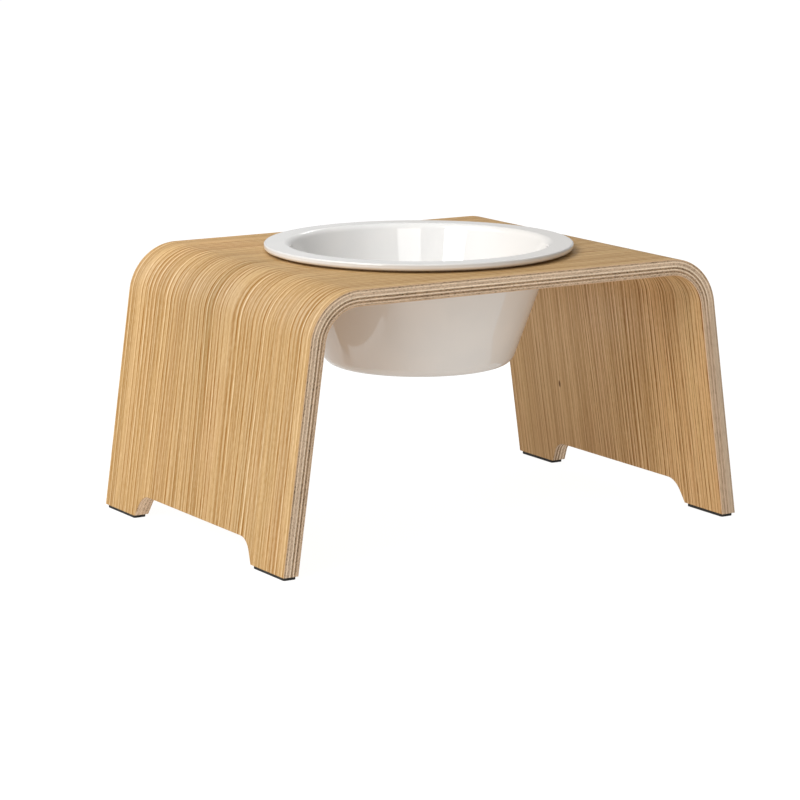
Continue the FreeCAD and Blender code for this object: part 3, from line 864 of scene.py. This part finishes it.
def core(name, d0, d1, along_grain, tone, right, streaky, seed):
    """One core ply. Its fibres run along the sheet or across it, so a cut edge
    shows streaks or end grain; a thin glue line darkens both its borders. right: its
    tone on the right leg's edges. streaky: strength of the streaks, elsewhere and there."""
    mat, n, shader = material(name)
    sheet = n.new("ShaderNodeGroup", node_tree=SHEET)
    s, y, d = (sheet.outputs[k] for k in ("Along", "Across", "Depth"))

    def at(ls, ly, ld, extra):
        return n.vector(n.math("DIVIDE", s, ls), n.math("ADD", n.math("DIVIDE", y, ly), seed + extra), n.math("DIVIDE", d, ld))

    if along_grain:
        fine = n.noise(at(6.0, 0.5, 0.30, 0.0), 3.0, 0.6)
        dots = n.noise(at(1.6, 0.9, 0.55, 5.0), 2.0, 0.6)
        broad = n.noise(at(45.0, 8.0, 1.4, 9.0), 2.0, 0.5)
    else:
        fine = n.noise(at(1.0, 9.0, 0.38, 0.0), 3.0, 0.6)
        dots = n.noise(at(1.8, 14.0, 0.55, 5.0), 2.0, 0.6)
        broad = n.noise(at(24.0, 40.0, 1.8, 9.0), 2.0, 0.5)
    # in the notches it is the left leg whose plies differ less in tone, on the front
    # and rear edges the right leg
    inside = n.ramp(n.math("ABSOLUTE", y), 118.0, 124.0, 1.0, 0.0)
    there = n.math("MULTIPLY", n.ramp(s, 172.0, 212.0), n.math("SUBTRACT", 1.0, inside))
    colour = n.mix(there, tone, right)
    colour = n.mix(n.math("MULTIPLY", inside, n.ramp(s, -230.0, 230.0, 0.72, 0.0)), colour, (0.475, 0.352, 0.245))
    longer = n.noise(at(7.0, 8.0, 0.5, 17.0), 3.0, 0.6)
    dots = n.math("ADD", dots, n.math("MULTIPLY", there, n.math("SUBTRACT", longer, dots)))
    fine = n.math("ADD", n.math("MULTIPLY", fine, n.math("SUBTRACT", 1.0, n.math("MULTIPLY", there, 0.6))), n.math("MULTIPLY", there, 0.3))
    light = n.math("ADD", n.math("SUBTRACT", fine, 0.5), n.math("MULTIPLY", n.math("SUBTRACT", broad, 0.5), 0.6))
    light = n.math("SUBTRACT", light, n.ramp(dots, 0.48, 0.72, 0.0, 0.55))
    light = n.math("ADD", light, n.ramp(dots, 0.26, 0.46, 0.28, 0.0))
    light = n.math("MULTIPLY", n.math("ADD", light, 0.05), n.math("ADD", streaky[0], n.math("MULTIPLY", there, streaky[1] - streaky[0])))
    light = n.math("ADD", light, n.ramp(n.math("ABSOLUTE", s), 125.0, 150.0, 1.27, 1.22))
    colour = n.scaled(colour, light)
    colour = n.mix(n.ramp(light, 0.45, 1.30, 0.8, 0.0), colour, (1.0, 0.93, 0.82), "MULTIPLY")
    glue = n.math("MINIMUM", n.math("SUBTRACT", d, d0), n.math("SUBTRACT", d1, d))
    colour = n.mix(n.ramp(glue, 0.02, 0.10, 0.35, 0.0), colour, linear(112, 86, 62))
    n.put(shader.inputs["Base Color"], colour)
    n.put(shader.inputs["Roughness"], n.math("ADD", 0.58, n.math("MULTIPLY", dots, 0.2)))
    shader.inputs["Specular IOR Level"].default_value = 0.25
    n.put(shader.inputs["Normal"], n.bump(n.math("ADD", fine, n.math("MULTIPLY", dots, 0.6)), 0.00008, 0.5))
    return mat


def porcelain(name):
    """White glaze; the ring that the bowl stands on underneath is left bare."""
    mat, n, shader = material(name)
    where = n.new("ShaderNodeTexCoord").outputs["Object"]
    mm = n.scaled(where, 1000.0)
    parts = n.new("ShaderNodeSeparateXYZ")
    n.put(parts.inputs[0], mm)
    radius = n.math("SQRT", n.math("ADD", n.math("MULTIPLY", parts.outputs[0], parts.outputs[0]), n.math("MULTIPLY", parts.outputs[1], parts.outputs[1])))
    wave = n.noise(n.scaled(mm, 1 / 34.0), 2.0, 0.5)
    peel = n.noise(n.scaled(mm, 1 / 3.2), 1.0, 0.5)
    grit = n.noise(n.scaled(mm, 1 / 0.6), 2.0, 0.6)
    tint = n.mix(n.ramp(wave, 0.3, 0.7), linear(234, 233, 231), linear(238, 236, 233))
    # painted shade: the inside and the rim are a touch darker and warmer towards the camera's right and at the far
    # edge
    x, y, z = parts.outputs
    right = n.math("SUBTRACT", n.math("MULTIPLY", x, 0.857), n.math("MULTIPLY", y, 0.515))
    far = n.math("ADD", n.math("MULTIPLY", x, 0.515), n.math("MULTIPLY", y, 0.857))
    half_wall = n.math("ADD", 97.4, n.math("MULTIPLY", n.math("SUBTRACT", z, 199.0), 0.368))
    inside = n.ramp(n.math("SUBTRACT", radius, half_wall), -0.5, 0.5, 1.0, 0.0)
    warm = n.math("MULTIPLY", n.math("MAXIMUM", n.ramp(right, 45.0, 75.0), n.ramp(far, 98.0, 108.0)), n.math("MAXIMUM", inside, n.ramp(z, 199.0, 200.0)))
    tint = n.mix(warm, tint, linear(231, 227, 222))
    # painted shade: a thin band on the rim's upper rounded edge is painted greyer, dimming the highlight there
    thin = n.math("MULTIPLY", n.ramp(radius, 113.2, 114.0), n.ramp(z, 203.0, 204.4))
    tint = n.mix(thin, tint, linear(220, 218, 215))
    bare = n.math("MULTIPLY", n.ramp(z, 114.72, 114.95, 1.0, 0.0), n.ramp(radius, 52.3, 53.0))
    edge = n.noise(n.scaled(mm, 1 / 2.0), 2.0, 0.5)
    bare = n.ramp(n.math("ADD", bare, n.math("MULTIPLY", n.math("SUBTRACT", edge, 0.5), 0.4)), 0.4, 0.6)
    biscuit = n.mix(grit, linear(206, 198, 186), linear(226, 220, 210))
    n.put(shader.inputs["Base Color"], n.mix(bare, tint, biscuit))
    gloss = n.math("ADD", 0.03, n.math("MULTIPLY", wave, 0.03))
    n.put(shader.inputs["Roughness"], n.math("ADD", gloss, n.math("MULTIPLY", bare, 0.55)))
    shader.inputs["IOR"].default_value = 1.74
    height = n.math("ADD", n.math("MULTIPLY", peel, 0.4), n.math("MULTIPLY", n.math("MULTIPLY", grit, bare), 1.0))
    n.put(shader.inputs["Normal"], n.bump(height, 0.00003, 0.35))
    return mat


def rubber(name, tone, dusty, grain):
    """Matt rubber with a fine pebbled skin and a little dust, dusty times as light."""
    mat, n, shader = material(name)
    mm = n.scaled(n.new("ShaderNodeTexCoord").outputs["Object"], 1000.0)
    fine = n.noise(n.scaled(mm, 1 / grain), 2.0, 0.55)
    dust = n.noise(n.scaled(mm, 1 / 6.0), 3.0, 0.6)
    colour = n.mix(n.ramp(dust, 0.35, 0.75), tone, tuple(c * dusty + 0.004 for c in tone))
    n.put(shader.inputs["Base Color"], n.scaled(colour, n.math("ADD", 0.75, n.math("MULTIPLY", fine, 0.5))))
    n.put(shader.inputs["Roughness"], n.math("ADD", 0.6, n.math("MULTIPLY", fine, 0.25)))
    shader.inputs["Specular IOR Level"].default_value = 0.35
    n.put(shader.inputs["Normal"], n.bump(fine, 0.00012, 0.6))
    return mat


def wear(piece, mat):
    piece.data.materials.clear()
    piece.data.materials.append(mat)


OUTER = ((202, 169, 121), (183, 147, 97), (148, 103, 46))
INNER = ((222, 187, 140), (202, 164, 115), (141, 98, 50))
OUTER_PATCHES = [
    (-305.0, -77.0, 55.0, 22.0, (1.07, 1.11, 1.17)),
    (-172.0, 18.0, 60.0, 48.0, (0.885, 0.885, 0.885)),
    # painted sheen: a paler, greyer band across the left bend
    (-171.0, 0.0, 13.0, 600.0, (1.0, 1.035, 1.16)),
    (-250.0, -115.0, 90.0, 20.0, (1.0, 1.03, 1.08)),
    # painted light: the top brighter at its rear left
    (-110.0, 105.0, 30.0, 40.0, (1.06, 1.02, 0.99)),
    (-340.0, -115.0, 25.0, 25.0, (1.04, 1.03, 1.03)),
]
INNER_PATCHES = [
    # painted light: paler high on the inner right leg
    (235.0, 50.0, 42.0, 85.0, (1.10, 1.15, 1.25)),
    (190.0, -118.0, 45.0, 22.0, (0.92, 0.96, 1.0)),
    # painted light: paler high on the inner right leg
    (212.0, -30.0, 25.0, 55.0, (1.06, 1.11, 1.25)),
    # painted shade: darker low on the inner right leg
    (335.0, 40.0, 25.0, 110.0, (0.96, 0.93, 0.92)),
]
wear(pieces["outer_oak_veneer"], oak("oak_outer", 2.0, OUTER, 5.2, 0.96, 0.71, 0.62, 0.0, (0.062, -265.0, 45.0), (1.0, 1.15, 0.72), (0.06, 0.075), 0.0, 0.0, OUTER_PATCHES))
wear(pieces["inner_oak_veneer"], oak("oak_inner", 71.0, INNER, 4.4, 0.98, 0.60, 0.66, 0.5, (-0.03, 265.0, 90.0), (0.78, 0.78, 1.07), (0.0, -0.05), 0.45, 1.0, INNER_PATCHES, [(283.0, 66.2, 3.4, 1.5)]))
CORE = {
    "core_ply_1_cross": ((0.375, 0.266, 0.175), (0.357, 0.272, 0.193), (1.7, 1.0)),
    "core_ply_2_long": ((0.655, 0.526, 0.388), (0.506, 0.398, 0.290), (1.0, 0.65)),
    "core_ply_3_cross": ((0.478, 0.356, 0.252), (0.471, 0.364, 0.260), (1.15, 0.5)),
    "core_ply_4_long": ((0.692, 0.566, 0.428), (0.525, 0.401, 0.286), (1.0, 0.75)),
    "core_ply_5_cross": ((0.271, 0.183, 0.109), (0.386, 0.277, 0.186), (2.1, 1.35)),
    "core_ply_6_long": ((0.660, 0.522, 0.391), (0.530, 0.398, 0.284), (1.1, 0.9)),
    "core_ply_7_cross": ((0.281, 0.188, 0.113), (0.401, 0.284, 0.188), (2.2, 1.35)),
    "core_ply_8_long": ((0.530, 0.405, 0.291), (0.528, 0.391, 0.264), (1.4, 0.9)),
    "core_ply_9_cross": ((0.432, 0.312, 0.209), (0.504, 0.372, 0.242), (1.8, 0.9)),
}
for number, (node, (tone, right, streaky)) in enumerate(CORE.items()):
    piece = pieces[node]
    along_grain = node.endswith("long")
    wear(piece, core("beech_" + node[5:], piece["from_depth"], piece["to_depth"], along_grain, tone, right, streaky, 13.0 * number + 5.0))
wear(bowl, porcelain("white_glaze"))
wear(ring, rubber("ring_rubber", (0.56, 0.415, 0.28), 1.12, 0.5))
for n, piece in enumerate(pads):
    wear(piece, rubber("pad_rubber_%d" % n, (0.020, 0.020, 0.019), 1.9, 0.45))
for node in pieces.values():
    for key in ("from_depth", "to_depth"):
        del node[key]

# -------------------------------------------------------------------- stage
floor_mesh = bpy.data.meshes.new("floor")
floor_mesh.from_pydata([(-40, -40, 0), (40, -40, 0), (40, 40, 0), (-40, 40, 0)], [], [(0, 1, 2, 3)])
floor = bpy.data.objects.new("floor", floor_mesh)
bpy.context.scene.collection.objects.link(floor)
mat = bpy.data.materials.new("pale_floor")
mat.use_nodes = True
tree = mat.node_tree
tree.nodes.clear()
n = Nodes(tree)
out = n.new("ShaderNodeOutputMaterial")
# seen straight it is white, mirrored in the bowl it shows its shadows, and it
# throws a little warm light up
diffuse = n.new("ShaderNodeBsdfDiffuse")
diffuse.inputs["Color"].default_value = (0.88, 0.87, 0.85, 1)
glow = n.new("ShaderNodeEmission")
glow.inputs["Strength"].default_value = 1.20
warm = n.new("ShaderNodeEmission")
warm.inputs["Color"].default_value = (1.0, 0.92, 0.84, 1)
path = n.new("ShaderNodeLightPath")
white = n.new("ShaderNodeMixShader")
spot = n.new("ShaderNodeSeparateXYZ")
n.put(spot.inputs[0], n.new("ShaderNodeTexCoord").outputs["Object"])


def painted_pool(x, y, radius, strength):
    """A round patch of the floor's glow, painted brighter (a pool of light) or darker (a shadow) by the sign of
    strength.
    """
    dx = n.math("DIVIDE", n.math("SUBTRACT", spot.outputs[0], x), radius)
    dy = n.math("DIVIDE", n.math("SUBTRACT", spot.outputs[1], y), radius)
    far = n.math("ADD", n.math("MULTIPLY", dx, dx), n.math("MULTIPLY", dy, dy))
    return n.math("MULTIPLY", strength, n.math("EXPONENT", n.math("MULTIPLY", far, -1.0)))


# painted shadow and painted light in the floor's glow: dimmer by the stand's right leg, as if the stand kept the light
# off, and brightest to its left
glow_with_painted_shadow = n.math("SUBTRACT", 0.90, painted_pool(0.10, 0.06, 0.17, 0.34))
n.put(warm.inputs["Strength"], n.math("ADD", glow_with_painted_shadow, painted_pool(-0.40, 0.06, 0.20, 0.55)))
n.put(white.inputs[0], n.math("ADD", 0.25, n.math("MULTIPLY", path.outputs["Is Camera Ray"], 0.53)))
tree.links.new(diffuse.outputs[0], white.inputs[1])
tree.links.new(glow.outputs[0], white.inputs[2])
both = n.new("ShaderNodeMixShader")
n.put(both.inputs[0], path.outputs["Is Diffuse Ray"])
tree.links.new(white.outputs[0], both.inputs[1])
tree.links.new(warm.outputs[0], both.inputs[2])
# from underneath it is looked through
clear = n.new("ShaderNodeMixShader")
n.put(clear.inputs[0], n.math("MULTIPLY", path.outputs["Is Camera Ray"], n.new("ShaderNodeNewGeometry").outputs["Backfacing"]))
tree.links.new(both.outputs[0], clear.inputs[1])
tree.links.new(n.new("ShaderNodeBsdfTransparent").outputs[0], clear.inputs[2])
tree.links.new(clear.outputs[0], out.inputs["Surface"])
floor_mesh.materials.append(mat)

# -------------------------------------------------------------------- light
# A room with a white wall in front and to the left, darker to the right.
world = bpy.data.worlds.new("studio")
bpy.context.scene.world = world
world.use_nodes = True
tree = world.node_tree
tree.nodes.clear()
n = Nodes(tree)
parts = n.new("ShaderNodeSeparateXYZ")
n.put(parts.inputs[0], n.new("ShaderNodeTexCoord").outputs["Generated"])
bearing = n.math("ARCTAN2", parts.outputs[0], n.math("MULTIPLY", parts.outputs[1], -1.0))
wall = n.math("MULTIPLY", n.ramp(bearing, -2.6, -2.1), n.ramp(bearing, 0.34, 0.46, 1.0, 0.0))
wall = n.math("MULTIPLY", wall, n.ramp(bearing, -1.1, -0.4, 1.0, 0.72))
rear = n.ramp(n.math("ABSOLUTE", bearing), 1.7, 2.5)
level = n.math("ADD", 0.25, n.math("MULTIPLY", wall, 0.57))
level = n.math("ADD", level, n.math("MULTIPLY", rear, 0.45))
above = n.ramp(parts.outputs[2], 0.65, 0.92)
mixed = n.new("ShaderNodeMix", data_type="FLOAT")
n.put(mixed.inputs[0], above)
n.put(mixed.inputs[2], level)
mixed.inputs[3].default_value = 0.68
seen = n.new("ShaderNodeMix", data_type="FLOAT")
n.put(seen.inputs[0], n.new("ShaderNodeLightPath").outputs["Is Camera Ray"])
n.put(seen.inputs[2], mixed.outputs[0])
seen.inputs[3].default_value = 1.0
back = n.new("ShaderNodeBackground")
n.put(back.inputs["Strength"], seen.outputs[0])
out = n.new("ShaderNodeOutputWorld")
tree.links.new(back.outputs[0], out.inputs["Surface"])


def softbox(name, azimuth, elevation, distance, wide, high, power):
    """An area light that looks at the bowl. Azimuth as the camera's: 0 is the front, negative is to the left."""
    a, e = math.radians(azimuth), math.radians(elevation)
    way = Vector((math.sin(a) * math.cos(e), -math.cos(a) * math.cos(e), math.sin(e)))
    data = bpy.data.lights.new(name, "AREA")
    data.shape = "RECTANGLE"
    data.size, data.size_y, data.energy = wide, high, power
    light = bpy.data.objects.new(name, data)
    bpy.context.scene.collection.objects.link(light)
    light.location = Vector((0, 0, 0.15)) + way * distance
    light.rotation_mode = "QUATERNION"
    light.rotation_quaternion = (-way).to_track_quat("-Z", "Y")
    light.visible_camera = False
    return light


softbox("key_left", -70, 28, 3.0, 1.0, 1.0, 26.0)
softbox("fill_front", -22, 30, 3.4, 1.2, 1.1, 8.5)
softbox("top_left", -108, 57, 1.0, 0.6, 0.6, 4.7)
softbox("rear_glint", 137, 30, 3.0, 0.45, 0.3, 1.6)

# ------------------------------------------------------------------- camera
yaw, pitch, roll = math.radians(31.458), math.radians(-10.996), math.radians(-0.024)
forward = Vector((math.sin(yaw) * math.cos(pitch), math.cos(yaw) * math.cos(pitch), math.sin(pitch)))
right = Vector((math.cos(yaw), -math.sin(yaw), 0))
up = right.cross(forward)
r2 = math.cos(roll) * right + math.sin(roll) * up
u2 = -math.sin(roll) * right + math.cos(roll) * up
camera_data = bpy.data.cameras.new("camera")
camera_data.sensor_width = 36.0
camera_data.sensor_fit = "HORIZONTAL"
camera_data.lens = 149.105
camera_data.clip_start, camera_data.clip_end = 0.05, 100
camera = bpy.data.objects.new("camera", camera_data)
bpy.context.scene.collection.objects.link(camera)
camera.matrix_world = Matrix(
    (
        (r2.x, u2.x, -forward.x, -1.283784),
        (r2.y, u2.y, -forward.y, -2.071813),
        (r2.z, u2.z, -forward.z, 0.559082),
        (0, 0, 0, 1),
    )
)
bpy.context.scene.camera = camera
bpy.context.scene.view_settings.view_transform = "Standard"
bpy.context.scene.view_settings.look = "None"
